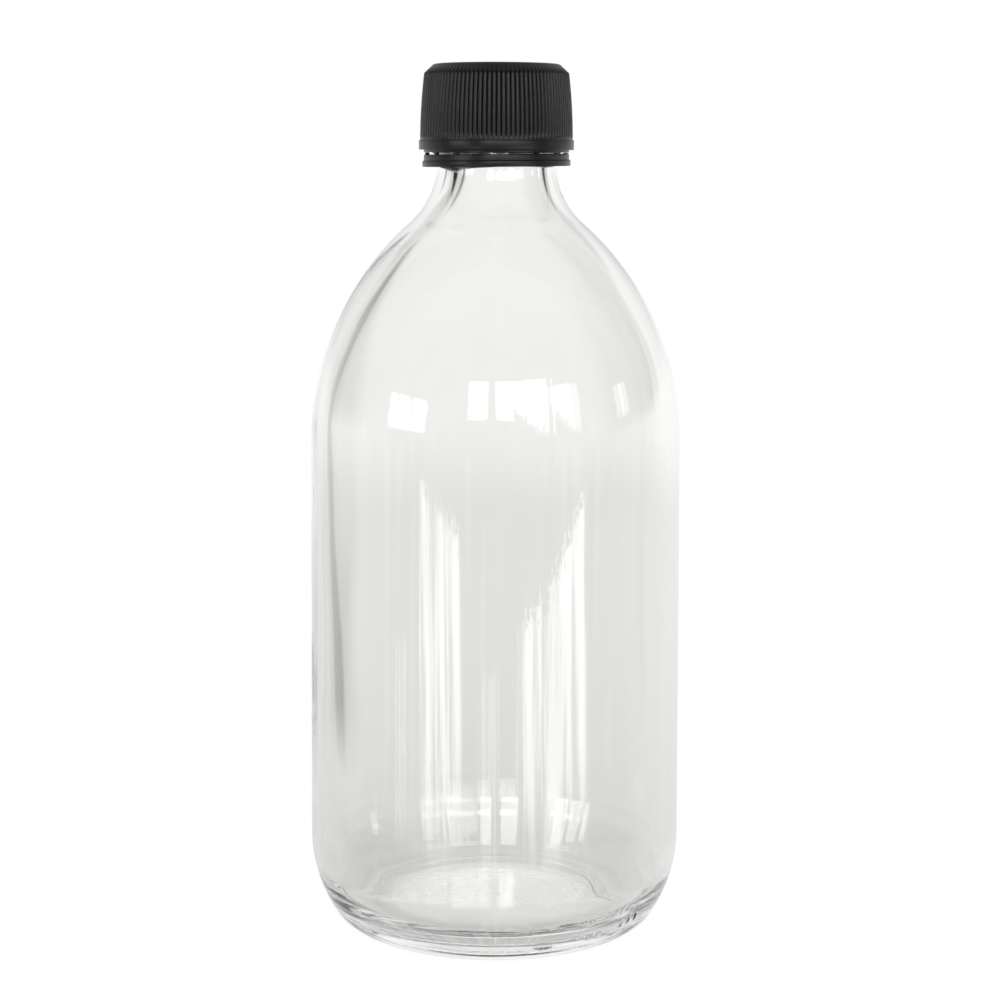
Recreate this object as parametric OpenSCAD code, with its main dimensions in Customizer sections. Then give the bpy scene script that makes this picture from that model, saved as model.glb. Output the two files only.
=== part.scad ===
// Round glass bottle with a 28 mm screw neck, closed by a ribbed plastic cap
// with a foam liner and a tamper band that stays on the neck.
// Millimetres, +Z up, origin in the middle of the circle that the bottle stands on.

/* [Body] */
// Outside diameter of the straight wall
body_d = 75.5; // [66:0.5:90]
// Height of the straight part of the wall
wall_h = 81.3; // [40:0.1:140]
// Thickness of the glass in the wall and the shoulder
glass_t = 2.5; // [1.8:0.1:3.4]

/* [Heel and base] */
// Large radius that turns the wall in towards the base
heel_big_r = 27; // [20:0.5:34]
// Small radius between the large one and the standing ring
heel_small_r = 6.5; // [4:0.5:9]
// Angle turned by the large radius, in degrees
heel_angle = 34; // [25:1:45]
// Width of the flat ring that the bottle stands on
ring_w = 2.4; // [1.2:0.1:4]
// Height of the hollow under the middle of the base
push_up = 3; // [1:0.1:5]
// Thickness of the glass in the middle of the base
base_t = 4.2; // [3:0.1:7]
// Radius inside, between the floor and the wall
floor_r = 9; // [8:0.5:15]

/* [Shoulder and neck] */
// Radius of the round shoulder
shoulder_r = 58; // [45:0.5:75]
// Radius of the hollow curve between the shoulder and the neck
neck_fillet_r = 16; // [8:0.5:22]
// Outside diameter of the neck, which is the root of its thread too
neck_d = 24.5; // [20:0.1:32]
// Thickness of the glass in the neck
neck_t = 2.95; // [2:0.05:4]
// Radius on the outer edge of the rim
rim_outer_r = 1; // [0.4:0.1:1.3]
// Radius on the inner edge of the rim
rim_inner_r = 0.8; // [0.4:0.1:1.2]

/* [Glass bead] */
// How far the bead that holds the tamper band stands out of the neck
bead_depth = 1.25; // [0.9:0.05:1.8]
// Straight neck below the bead
under_bead_h = 1.65; // [1:0.05:4]
// Height of the slope on the underside of the bead
bead_under_h = 0.8; // [0.5:0.05:1.5]
// Height of the flat outside of the bead
bead_land_h = 1.1; // [0.5:0.1:3]
// Height of the slope on the top of the bead
bead_over_h = 1.35; // [0.8:0.05:3]

/* [Glass thread] */
// Height that one turn of the thread climbs
pitch = 3.175; // [3:0.025:4]
// Turns of thread on the glass
thread_turns = 1.5; // [1:0.25:2]
// How far the glass thread stands out of the neck
thread_depth = 1.35; // [1:0.05:1.6]
// Width of the glass thread at its root
thread_root_w = 2.2; // [1.8:0.05:2.4]
// Width of the glass thread at its crest
thread_crest_w = 0.9; // [0.5:0.05:1.2]
// Bare neck between the bead and the lower end of the thread
thread_lift = 5.2; // [4:0.1:9]
// Height from the upper end of the thread to the rim
thread_drop = 2.6; // [2:0.1:6]

/* [Cap] */
// Thickness of the cap's wall above the flange, over the ribs
skirt_t = 1.65; // [1.3:0.05:2.5]
// How far the skirt is drawn in at its top
skirt_draw = 0.8; // [0.1:0.05:1]
// How far the flange low on the cap stands out of the skirt
flange_step = 0.25; // [0.1:0.05:1]
// Height of the flange
flange_h = 2; // [1:0.1:4]
// How far the narrow collar under the flange is set back from it
collar_step = 1; // [0.4:0.05:1]
// Height of that collar
collar_h = 0.5; // [0.3:0.05:1]
// Thickness of the cap's top
crown_t = 1.85; // [1:0.05:3]
// Width of the slope round the top
chamfer_w = 1.95; // [0.5:0.05:2.4]
// Height of the slope round the top
chamfer_h = 1.85; // [0.5:0.05:2.2]
// Number of grip ribs
rib_count = 100; // [40:1:120]
// Depth of the grooves between the ribs
rib_depth = 0.35; // [0.1:0.05:0.6]
// How far the cap's own thread stands into the cap
cap_thread_depth = 1.1; // [0.8:0.05:1.3]
// Width of the cap's thread at its root
cap_thread_root_w = 1.7; // [1.2:0.05:1.8]
// Width of the cap's thread at its crest
cap_thread_crest_w = 0.7; // [0.4:0.05:0.9]
// Turns of thread in the cap
cap_thread_turns = 1.5; // [1:0.25:1.75]

/* [Liner] */
// Thickness of the foam liner
liner_t = 0.8; // [0.6:0.1:2]
// How far the small ring that keeps the liner in the cap stands in
keeper_depth = 0.5; // [0.35:0.05:0.7]
// Height of that ring
keeper_h = 0.8; // [0.4:0.1:1.2]

/* [Tamper band] */
// Thickness of the band
band_t = 1; // [0.7:0.05:1.8]
// Height of the band below the top of its hook
band_below = 2.05; // [1.5:0.05:3]
// Height of the band above the top of its hook
band_above = 0.45; // [0.4:0.05:0.8]
// Height of the lip round the foot of the band
lip_h = 1.2; // [0.6:0.1:1.4]
// How far the lip stands out of the band
lip_step = 0.3; // [0.1:0.05:0.8]
// How far the hook inside the band stands in under the glass bead
hook_depth = 0.9; // [0.5:0.05:1]
// Height of the flat tip of the hook
hook_tip_h = 0.5; // [0.2:0.1:0.8]
// Number of thin bridges between the band and the cap
bridge_count = 16; // [6:1:24]
// Width of a bridge round the band
bridge_w = 0.9; // [0.4:0.1:1.6]
// Height of a bridge
bridge_h = 0.2; // [0.15:0.05:1.5]

/* [Clearances] */
// Gap between the crest of the glass thread and the cap's wall
thread_gap = 0.3; // [0.2:0.05:0.5]
// Gap between the flanks of the two threads when the cap is tight
flank_gap = 0.15; // [0.1:0.05:0.3]
// Gap between the glass bead and the inside of the band
band_gap = 0.3; // [0.2:0.05:0.6]
// Gap where a flat face only touches: rim to liner, liner to cap, bridge to cap
touch_gap = 0.05; // [0.02:0.01:0.1]
// Gap round the edge of the liner
liner_gap = 0.3; // [0.1:0.05:0.4]

/* [Hidden] */
$fn = 120;
// Angle between two points of an arc in an outline, in degrees
arc_step = 4;
// Angle between two sections of a thread, in degrees
thread_step = 10;
// Part of a turn in which a thread rises from the wall at each end
fade_share = 0.12;
// Height of a thread's first section, as a share of its full height
first_share = 0.1;
// Depth by which a thread's root reaches into its wall
thread_sink = 0.3;
// Length by which a cut runs past what it cuts and a bridge reaches into its band
overrun = 0.4;
// Size of the small bevels on the plastic edges
edge = 0.2;
// Steps in the bowed outline of the skirt
skirt_steps = 3;
// Height of the smooth strip between the flange and the grooves
rib_foot = 0.5;
// One groove from side to side: place across a rib's width and depth
groove_shares = [[-0.34, 0], [-0.16, 0.3], [0, 1], [0.16, 0.3], [0.34, 0]];
// Half the width of a groove outside the skirt, as a share of a rib's width
groove_open_share = 0.46;
// Where a bridge lies in the thickness of the band, and how much of it it takes
bridge_shares = [0.25, 0.9];

glass_colour = [0.90, 0.93, 0.92, 0.4];
cap_colour = [0.06, 0.06, 0.065];
liner_colour = [0.93, 0.93, 0.91];

// Radii of the glass
body_r = body_d / 2;
in_r = body_r - glass_t;
neck_r = neck_d / 2;
bore_r = neck_r - neck_t;
bead_r = neck_r + bead_depth;
thread_r = neck_r + thread_depth;

// Heel: two arcs that run into each other, the standing ring and the wall
heel_x = body_r - heel_big_r * (1 - cos(heel_angle)) - heel_small_r * cos(heel_angle);
heel_z = heel_big_r * sin(heel_angle) + heel_small_r * (1 - sin(heel_angle));
ring_r = heel_x - ring_w;
wall_top_z = heel_z + wall_h;

// Base: the hollow below and the floor above share one centre
dome_r = (ring_r * ring_r + push_up * push_up) / (2 * push_up);
dome_z = push_up - dome_r;
dome_angle = asin(ring_r / dome_r);
corner_x = in_r - floor_r;
corner_angle = asin(corner_x / (dome_r + base_t + floor_r));
corner_z = dome_z + (dome_r + base_t + floor_r) * cos(corner_angle);

// Shoulder: where an arc round the shoulder's centre runs into the hollow neck curve
shoulder_x = body_r - shoulder_r;
function run_in_angle(neck, fillet, big) = acos((neck + fillet - shoulder_x) / (big + fillet));
function run_in_z(neck, fillet, big) =
    wall_top_z + (big + fillet) * sin(run_in_angle(neck, fillet, big));
neck_angle = run_in_angle(neck_r, neck_fillet_r, shoulder_r);
neck_z = run_in_z(neck_r, neck_fillet_r, shoulder_r);
in_fillet_r = neck_fillet_r + glass_t;
in_shoulder_r = shoulder_r - glass_t;
in_angle = run_in_angle(bore_r, in_fillet_r, in_shoulder_r);
in_neck_z = run_in_z(bore_r, in_fillet_r, in_shoulder_r);

// Heights up the finish, from the foot of the bead to the rim
bead_foot_z = neck_z + under_bead_h;
bead_z = bead_foot_z + bead_under_h;
bead_top_z = bead_z + bead_land_h + bead_over_h;
thread_z = bead_top_z + thread_lift;
rim_z = thread_z + thread_turns * pitch + thread_drop;

// Tamper band, set by the bead
band_in_r = bead_r + band_gap;
band_r = band_in_r + band_t;
band_z = bead_foot_z - band_below;
band_top_z = bead_foot_z + band_above;

// Cap, set by the thread, the rim and the band
cap_in_r = thread_r + thread_gap;
skirt_r = cap_in_r + skirt_t;
flange_r = skirt_r + flange_step;
cap_z = band_top_z + bridge_h;
collar_r = flange_r - collar_step;
flange_z = cap_z + collar_h;
flange_top_z = flange_z + flange_h;
liner_z = rim_z + touch_gap;
ceiling_z = liner_z + liner_t + touch_gap;
cap_top_z = ceiling_z + crown_t;
skirt_top_z = cap_top_z - chamfer_h;
skirt_top_r = skirt_r - skirt_draw;
liner_r = cap_in_r - liner_gap;

// The cap's thread hangs below the glass thread, flank under flank
function glass_width(r) =
    thread_root_w + (thread_crest_w - thread_root_w) * (r - neck_r) / thread_depth;
function cap_width(r) =
    cap_thread_root_w
    + (cap_thread_crest_w - cap_thread_root_w) * (cap_in_r - r) / cap_thread_depth;
cap_crest_r = cap_in_r - cap_thread_depth;
flank_reach = max(
    glass_width(cap_crest_r) + cap_width(cap_crest_r),
    glass_width(thread_r) + cap_width(thread_r)
) / 2;
cap_thread_z = thread_z - flank_reach - flank_gap;

// Points of an arc from angle a to angle b, both ends included
function arc(x, z, r, a, b) =
    let (steps = max(1, ceil(abs(b - a) / arc_step)))
    [for (i = [0:steps]) let (t = a + (b - a) * i / steps) [x + r * cos(t), z + r * sin(t)]];

// Outside of the glass, from the middle of the base to the middle of the mouth
function glass_outside() = concat(
    arc(0, dome_z, dome_r, 90, 90 - dome_angle),
    arc(heel_x, heel_small_r, heel_small_r, -90, -heel_angle),
    arc(body_r - heel_big_r, heel_z, heel_big_r, -heel_angle, 0),
    arc(shoulder_x, wall_top_z, shoulder_r, 0, neck_angle),
    arc(neck_r + neck_fillet_r, neck_z, neck_fillet_r, 180 + neck_angle, 180),
    [
        [neck_r, bead_foot_z],
        [bead_r, bead_z],
        [bead_r, bead_z + bead_land_h],
        [neck_r, bead_top_z]
    ],
    arc(neck_r - rim_outer_r, rim_z - rim_outer_r, rim_outer_r, 0, 90),
    [[0, rim_z]]
);

// Inside of the glass, from the middle of the floor up through the bore
function glass_inside() = concat(
    arc(0, dome_z, dome_r + base_t, 90, 90 - corner_angle),
    arc(corner_x, corner_z, floor_r, 270 - corner_angle, 360),
    arc(shoulder_x, wall_top_z, in_shoulder_r, 0, in_angle),
    arc(bore_r + in_fillet_r, in_neck_z, in_fillet_r, 180 + in_angle, 180),
    arc(bore_r + rim_inner_r, rim_z - rim_inner_r, rim_inner_r, 180, 90),
    [[bore_r + rim_inner_r, rim_z + overrun], [0, rim_z + overrun]]
);

// Right-hand helical ridge whose root is sunk in a wall of radius root_r
module ridge(root_r, crest_r, root_w, crest_w, turns, low_z) {
    out = crest_r > root_r;
    sunk_r = out ? root_r - thread_sink : root_r + thread_sink;
    steps = ceil(360 * turns / thread_step);
    function rise(i) = max(first_share, min(1, min(i, steps - i) / (steps * fade_share / turns)));
    function section(i) =
        let (
            a = 360 * turns * i / steps,
            z = low_z + pitch * a / 360,
            r = sunk_r + (crest_r - sunk_r) * rise(i),
            side = [
                [sunk_r, z - root_w / 2],
                [r, z - crest_w / 2],
                [r, z + crest_w / 2],
                [sunk_r, z + root_w / 2]
            ]
        )
        [for (k = [0:3]) let (p = side[out ? 3 - k : k]) [p[0] * cos(a), p[0] * sin(a), p[1]]];
    points = [for (i = [0:steps]) each section(i)];
    walls = [for (i = [0:steps - 1]) for (k = [0:3]) let (a = 4 * i + k, b = 4 * i + (k + 1) % 4)
        each [[a, a + 4, b], [b, a + 4, b + 4]]];
    last = 4 * steps;
    ends = [[0, 1, 2], [0, 2, 3], [last, last + 2, last + 1], [last, last + 3, last + 2]];
    polyhedron(points, concat(walls, ends));
}

// Outside of the cap, from the middle of its foot to the middle of its top
function cap_outside() = concat(
    [
        [0, cap_z],
        [collar_r - edge, cap_z],
        [collar_r, cap_z + edge],
        [collar_r, flange_z],
        [flange_r - edge, flange_z],
        [flange_r, flange_z + edge],
        [flange_r, flange_top_z - edge],
        [flange_r - edge, flange_top_z]
    ],
    [for (i = [0:skirt_steps]) let (s = i / skirt_steps)
        [skirt_r - skirt_draw * s * s, flange_top_z + (skirt_top_z - flange_top_z) * s]],
    [
        [skirt_top_r - chamfer_w + edge, cap_top_z - edge / 2],
        [skirt_top_r - chamfer_w - edge, cap_top_z],
        [0, cap_top_z]
    ]
);

// Grooves that leave the grip ribs standing, open at the top and closed above the flange
module rib_grooves() {
    rib_w = 2 * PI * skirt_r / rib_count;
    open_w = rib_w * groove_open_share;
    rise = skirt_top_z - flange_top_z;
    lean = atan(skirt_draw / rise);
    for (i = [0:rib_count - 1])
        rotate(360 * i / rib_count)
            translate([skirt_r, 0, flange_top_z])
                rotate([0, -lean, 0])
                    translate([0, 0, rib_foot])
                        linear_extrude(rise + chamfer_h)
                            polygon(concat(
                                [for (p = groove_shares) [-rib_depth * p[1], rib_w * p[0]]],
                                [[overrun, open_w], [overrun, -open_w]]
                            ));
}

// Hollow of the cap, with the ring that keeps the liner left standing
function cap_inside() =
    let (keeper_z = liner_z - touch_gap - keeper_h)
    [
        [0, cap_z - overrun],
        [cap_in_r + edge + overrun, cap_z - overrun],
        [cap_in_r, cap_z + edge],
        [cap_in_r, keeper_z],
        [cap_in_r - keeper_depth, keeper_z + keeper_h / 2],
        [cap_in_r, keeper_z + keeper_h],
        [cap_in_r, ceiling_z],
        [0, ceiling_z]
    ];

// Clear glass bottle
module glass_bottle() {
    color(glass_colour) {
        rotate_extrude()
            difference() {
                polygon(glass_outside());
                polygon(glass_inside());
            }
        ridge(neck_r, thread_r, thread_root_w, thread_crest_w, thread_turns, thread_z);
    }
}

// Ribbed cap, open below, with its thread
module screw_cap() {
    color(cap_colour) {
        difference() {
            rotate_extrude()
                difference() {
                    polygon(cap_outside());
                    polygon(cap_inside());
                }
            rib_grooves();
        }
        ridge(
            cap_in_r, cap_crest_r, cap_thread_root_w, cap_thread_crest_w,
            cap_thread_turns, cap_thread_z
        );
    }
}

// Foam disc that seals the rim
module cap_liner() {
    color(liner_colour)
        translate([0, 0, liner_z])
            cylinder(r = liner_r, h = liner_t);
}

// Ring that stays under the glass bead, with its bridges to the cap
module tamper_band() {
    hook_r = band_in_r - hook_depth;
    bridge_in = band_in_r + band_t * bridge_shares[0];
    bridge_out = band_in_r + band_t * bridge_shares[1];
    bridge_top = bridge_h - touch_gap;
    color(cap_colour) {
        rotate_extrude()
            polygon([
                [band_in_r, band_z],
                [band_r + lip_step - edge, band_z],
                [band_r + lip_step, band_z + edge],
                [band_r + lip_step, band_z + lip_h - edge],
                [band_r, band_z + lip_h],
                [band_r, band_top_z],
                [band_in_r, band_top_z],
                [band_in_r, band_top_z - edge / 2],
                [hook_r, bead_foot_z],
                [hook_r, bead_foot_z - hook_tip_h]
            ]);
        for (i = [0:bridge_count - 1])
            rotate(360 * (i + 0.5) / bridge_count)
                translate([bridge_in, -bridge_w / 2, band_top_z - overrun / 2])
                    cube([bridge_out - bridge_in, bridge_w, bridge_top + overrun / 2]);
    }
}

glass_bottle();
screw_cap();
cap_liner();
tamper_band();
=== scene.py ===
# %% [markdown]
# # A glass bottle with a screw cap
#
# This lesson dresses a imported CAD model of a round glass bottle. The CAD nodes say
# where every piece is and how it moves. Here each piece is modelled again with the
# smooth curves and small details that only show up close, and gets its material.
#
# Glass shows almost nothing of itself. What we see is the light it bends and mirrors,
# so most of the care goes into true wall shapes and into what stands round the bottle.

# %% Load the frame
import math

import bpy
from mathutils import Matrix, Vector, noise


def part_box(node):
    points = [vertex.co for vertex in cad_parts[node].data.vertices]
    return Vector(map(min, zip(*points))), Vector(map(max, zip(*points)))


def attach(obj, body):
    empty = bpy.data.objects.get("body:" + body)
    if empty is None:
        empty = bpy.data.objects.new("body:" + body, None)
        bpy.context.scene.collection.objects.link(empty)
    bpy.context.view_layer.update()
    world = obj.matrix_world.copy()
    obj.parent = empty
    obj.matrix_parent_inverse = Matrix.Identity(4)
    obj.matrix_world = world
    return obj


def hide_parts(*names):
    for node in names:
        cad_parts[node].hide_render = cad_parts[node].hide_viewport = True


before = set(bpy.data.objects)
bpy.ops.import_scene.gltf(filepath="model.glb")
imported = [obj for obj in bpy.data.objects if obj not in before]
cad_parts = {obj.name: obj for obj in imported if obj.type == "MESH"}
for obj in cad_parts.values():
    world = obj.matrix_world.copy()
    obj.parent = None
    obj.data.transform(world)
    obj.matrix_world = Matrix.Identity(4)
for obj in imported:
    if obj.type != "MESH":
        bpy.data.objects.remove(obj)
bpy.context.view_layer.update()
bpy.ops.object.select_all(action="DESELECT")
print("CAD nodes:", sorted(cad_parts))

# %% [markdown]
# ## The camera
#
# The photograph was taken from close by, a little above the shoulder, looking slightly
# down. The frame was then cut well below the middle of the lens, which in Blender is a
# vertical shift. Short distance matters: it makes the circles of cap and base open up.

# %% Camera at the photograph's place
mm = 0.001
photo_width = 1000
focal_px = 2248
axis_column = 496
lens_row = 290.5
camera_distance = 459 * mm
camera_height = 157.8 * mm
camera_pitch = math.radians(3.56)
camera_roll = math.radians(0.18)

bpy.ops.object.camera_add(
    location=(0, -camera_distance, camera_height),
    rotation=(math.radians(90) - camera_pitch, 0, 0),
)
camera = bpy.context.object
camera.name = "photo_camera"
camera.rotation_euler.rotate_axis("Z", camera_roll)
camera.data.sensor_width = 36
camera.data.lens = 36 * focal_px / photo_width
camera.data.shift_x = (photo_width / 2 - axis_column) / photo_width
camera.data.shift_y = (lens_row - photo_width / 2) / photo_width
bpy.context.scene.camera = camera
print(f"lens {camera.data.lens:.1f} mm, shift {camera.data.shift_x:.3f}, {camera.data.shift_y:.3f}")

# %% [markdown]
# ## Drawing an outline like a lathe worker
#
# Every piece here is turned: a flat outline is spun round the bottle's axis. The outline
# starts as one vertex. Extrude moves a copy of it along a straight line, and Spin carries
# it round a centre, which draws an arc. The vertex drawn last stays selected, so each
# stroke goes on from the one before, as with a pen.

# %% A pen that draws with extrude and spin
class Pen:
    def __init__(self, name, x, z):
        bpy.ops.object.select_all(action="DESELECT")
        bpy.ops.mesh.primitive_plane_add(size=mm)
        self.obj = bpy.context.object
        self.obj.name = self.obj.data.name = name
        bpy.ops.object.mode_set(mode="EDIT")
        bpy.ops.mesh.merge(type="CENTER")
        bpy.ops.transform.translate(value=(x, 0, z))
        self.x, self.z = x, z
        self.count = 1

    def line(self, x, z, steps=1):
        stride = ((x - self.x) / steps, 0, (z - self.z) / steps)
        for _ in range(steps):
            bpy.ops.mesh.extrude_region_move(TRANSFORM_OT_translate={"value": stride})
        self.x, self.z = x, z
        self.count += steps

    def arc(self, cx, cz, degrees, steps):
        # Positive degrees turn anticlockwise, seen by the camera
        turn = math.radians(degrees)
        bpy.ops.mesh.spin(
            steps=steps, angle=turn, center=(cx, 0, cz), axis=(0, 1, 0), use_auto_merge=False
        )
        dx, dz = self.x - cx, self.z - cz
        self.x = cx + dx * math.cos(turn) - dz * math.sin(turn)
        self.z = cz + dx * math.sin(turn) + dz * math.cos(turn)
        self.count += steps

    def done(self):
        bpy.ops.object.mode_set(mode="OBJECT")
        return self.obj


def edit_all(obj):
    bpy.ops.object.select_all(action="DESELECT")
    obj.select_set(True)
    bpy.context.view_layer.objects.active = obj
    bpy.ops.object.mode_set(mode="EDIT")
    bpy.ops.mesh.select_all(action="SELECT")


def weld(obj, distance):
    edit_all(obj)
    bpy.ops.mesh.remove_doubles(threshold=distance)
    bpy.ops.mesh.normals_make_consistent(inside=False)
    bpy.ops.mesh.select_all(action="DESELECT")
    bpy.ops.object.mode_set(mode="OBJECT")


def spin_round(obj, columns):
    edit_all(obj)
    bpy.ops.mesh.spin(
        steps=columns, angle=2 * math.pi, center=(0, 0, 0), axis=(0, 0, 1), use_auto_merge=True
    )
    bpy.ops.object.mode_set(mode="OBJECT")
    weld(obj, 0.002 * mm)


def report(obj):
    triangles = sum(len(p.vertices) - 2 for p in obj.data.polygons)
    low = [round(min(v.co[i] for v in obj.data.vertices) / mm, 2) for i in range(3)]
    high = [round(max(v.co[i] for v in obj.data.vertices) / mm, 2) for i in range(3)]
    print(obj.name, "triangles", triangles, "from", low, "to", high)


# %% [markdown]
# ## The sizes of the glass
#
# The bottle is a straight wall between two sets of arcs that run into each other without
# a corner. Below, a large and a small radius make the heel. Above, one large radius makes
# the shoulder, and a hollow one leads into the neck. The places where arcs meet follow
# from the radii, so only the radii are written down. They are the CAD part's own.

# %% Sizes of the glass
body_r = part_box("glass_bottle")[1].x
rim_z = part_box("glass_bottle")[1].z
wall_h = 81.3 * mm
glass_t = 2.5 * mm
heel_big_r = 27 * mm
heel_small_r = 6.5 * mm
heel_angle = math.radians(34)
ring_w = 2.4 * mm
push_up = 3 * mm
base_t = 4.2 * mm
floor_r = 9 * mm
shoulder_r = 58 * mm
neck_fillet_r = 16 * mm
neck_r = 12.25 * mm
neck_t = 2.95 * mm
rim_outer_r = 1 * mm
rim_inner_r = 0.8 * mm
bead_depth = 1.25 * mm
under_bead_h = 1.65 * mm
bead_under_h = 0.8 * mm
bead_land_h = 1.1 * mm
bead_over_h = 1.35 * mm

bore_r = neck_r - neck_t
heel_x = body_r - heel_big_r * (1 - math.cos(heel_angle)) - heel_small_r * math.cos(heel_angle)
heel_z = heel_big_r * math.sin(heel_angle) + heel_small_r * (1 - math.sin(heel_angle))
ring_r = heel_x - ring_w
wall_top_z = heel_z + wall_h
dome_r = (ring_r**2 + push_up**2) / (2 * push_up)
dome_z = push_up - dome_r
shoulder_x = body_r - shoulder_r


def run_in(neck, fillet, big):
    # Angle of the shoulder arc and height of the centre of the hollow arc that meets it
    angle = math.acos((neck + fillet - shoulder_x) / (big + fillet))
    return angle, wall_top_z + (big + fillet) * math.sin(angle)


neck_angle, neck_z = run_in(neck_r, neck_fillet_r, shoulder_r)
in_fillet_r = neck_fillet_r + glass_t
in_shoulder_r = shoulder_r - glass_t
in_angle, in_neck_z = run_in(bore_r, in_fillet_r, in_shoulder_r)
bead_foot_z = neck_z + under_bead_h
bead_z = bead_foot_z + bead_under_h
bead_top_z = bead_z + bead_land_h + bead_over_h
print(f"neck starts at {neck_z / mm:.2f} mm, rim at {rim_z / mm:.2f} mm")

# %% [markdown]
# ## Turning the bottle
#
# One outline goes out along the hollow base, over the standing ring, up the wall and
# round the rim, and comes back down the inside to the middle of the floor. Spun round the
# axis it is one closed skin with air on both sides, which is what a glass shader needs:
# a shell without thickness would bend light once too little.
#
# The points that lie inside go into a vertex group, because the mould shapes only the
# outside. The inside is shaped by air, and is never quite even.

# %% Outline of the glass
columns = 288
thread_rows = 60


def draw_outside(pen):
    dome_angle = math.degrees(math.asin(ring_r / dome_r))
    pen.arc(0, dome_z, -dome_angle, 14)
    pen.line(heel_x, 0, 3)
    pen.arc(heel_x, heel_small_r, 90 - math.degrees(heel_angle), 12)
    pen.arc(body_r - heel_big_r, heel_z, math.degrees(heel_angle), 16)
    pen.line(body_r, wall_top_z, 16)
    pen.arc(shoulder_x, wall_top_z, math.degrees(neck_angle), 30)
    pen.arc(neck_r + neck_fillet_r, neck_z, -math.degrees(neck_angle), 18)
    pen.line(neck_r, bead_foot_z, 2)
    pen.line(neck_r + bead_depth, bead_z, 3)
    pen.line(neck_r + bead_depth, bead_z + bead_land_h, 2)
    pen.line(neck_r, bead_top_z, 3)
    pen.line(neck_r, rim_z - rim_outer_r, thread_rows)
    pen.arc(neck_r - rim_outer_r, rim_z - rim_outer_r, 90, 6)


def draw_inside(pen):
    corner_x = body_r - glass_t - floor_r
    corner_reach = dome_r + base_t + floor_r
    corner_angle = math.asin(corner_x / corner_reach)
    corner_z = dome_z + corner_reach * math.cos(corner_angle)
    pen.line(bore_r + rim_inner_r, rim_z, 2)
    pen.arc(bore_r + rim_inner_r, rim_z - rim_inner_r, 90, 5)
    pen.line(bore_r, in_neck_z, 12)
    pen.arc(bore_r + in_fillet_r, in_neck_z, math.degrees(in_angle), 18)
    pen.arc(shoulder_x, wall_top_z, -math.degrees(in_angle), 30)
    pen.line(body_r - glass_t, corner_z, 16)
    pen.arc(corner_x, corner_z, -(90 + math.degrees(corner_angle)), 16)
    pen.arc(0, dome_z, math.degrees(corner_angle), 14)


pen = Pen("clear_glass_bottle", 0, push_up)
draw_outside(pen)
first_inside = pen.count
draw_inside(pen)
bottle = pen.done()
inside = bottle.vertex_groups.new(name="inside")
inside.add(list(range(first_inside, pen.count)), 1, "REPLACE")
print("outline points:", len(bottle.data.vertices), "drawn:", pen.count)

# %% Spin the outline into the bottle
spin_round(bottle, columns)
report(bottle)

# %% [markdown]
# ## The screw thread
#
# The thread on the neck is a ridge that climbs one pitch in each turn. It could be a
# swept bar joined on by a Boolean, but a join would leave a wall inside the glass or a
# ragged seam. Here the neck's own vertices are lifted: how far each one moves depends
# only on how far it lies from the thread's middle line.

# %% Raise the thread out of the neck
pitch = 3.175 * mm
thread_turns = 1.5
thread_depth = 1.35 * mm
thread_root_w = 2.2 * mm
thread_crest_w = 0.9 * mm
thread_lift = 5.2 * mm
thread_fade = 0.12
thread_z = bead_top_z + thread_lift


def smooth(t):
    t = min(max(t, 0), 1)
    return t * t * (3 - 2 * t)


def thread_height(angle, z, low_z, root_w, crest_w):
    # From 0 on the bare wall to 1 on the crest
    height = 0
    for turn in (0, 1):
        turns_up = angle / (2 * math.pi) + turn
        if turns_up > thread_turns:
            continue
        away = abs(z - low_z - pitch * turns_up)
        ends = smooth(min(turns_up, thread_turns - turns_up) / thread_fade)
        height = max(height, smooth((root_w - 2 * away) / (root_w - crest_w)) * ends)
    return height


for v in bottle.data.vertices:
    r = math.hypot(v.co.x, v.co.y)
    if bead_top_z < v.co.z < rim_z - rim_outer_r / 2 and abs(r - neck_r) < 0.01 * mm:
        angle = math.atan2(v.co.y, v.co.x) % (2 * math.pi)
        height = thread_height(angle, v.co.z, thread_z, thread_root_w, thread_crest_w)
        lifted = (r + thread_depth * height) / r
        v.co.x *= lifted
        v.co.y *= lifted
print(f"thread from {thread_z / mm:.1f} to {(thread_z + pitch * thread_turns) / mm:.1f} mm")

# %% [markdown]
# ## Signs of the mould
#
# Bottle glass is pressed and blown in an iron mould. Three things give that away: the
# seam where the mould's halves met, the fine notches round the standing ring that keep
# the hot base off the belt, and walls whose thickness wanders. None of them is more than
# about a millimetre, yet the last is why reflections in a real bottle swim.

# %% Uneven walls, seams and notches
seam_angles = (math.radians(196), math.radians(16))
seam_height = 0.015 * mm
outer_wave = 0.035 * mm
inner_wave = 0.28 * mm
wave_length = 30 * mm
inner_offset = Vector((-0.35 * mm, 0, 0))
# The left side of the shoulder is thicker than the right one
thick_side = math.radians(180)
thick_more = 1 * mm
thick_low_z, thick_high_z = 95 * mm, 163 * mm
thick_run_in, thick_run_out = 55 * mm, 6 * mm
notch_depth = 0.12 * mm
inside_index = inside.index


def is_inside(v):
    return any(g.group == inside_index for g in v.groups)


def waviness(co, seed):
    # Waves are drawn out along the height, because the hot glass stretched that way
    place = Vector((co.x, co.y, co.z * 0.45)) / wave_length + Vector((seed, seed * 2, 0))
    return noise.noise(place) + 0.35 * noise.noise(place * 2.7)


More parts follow.
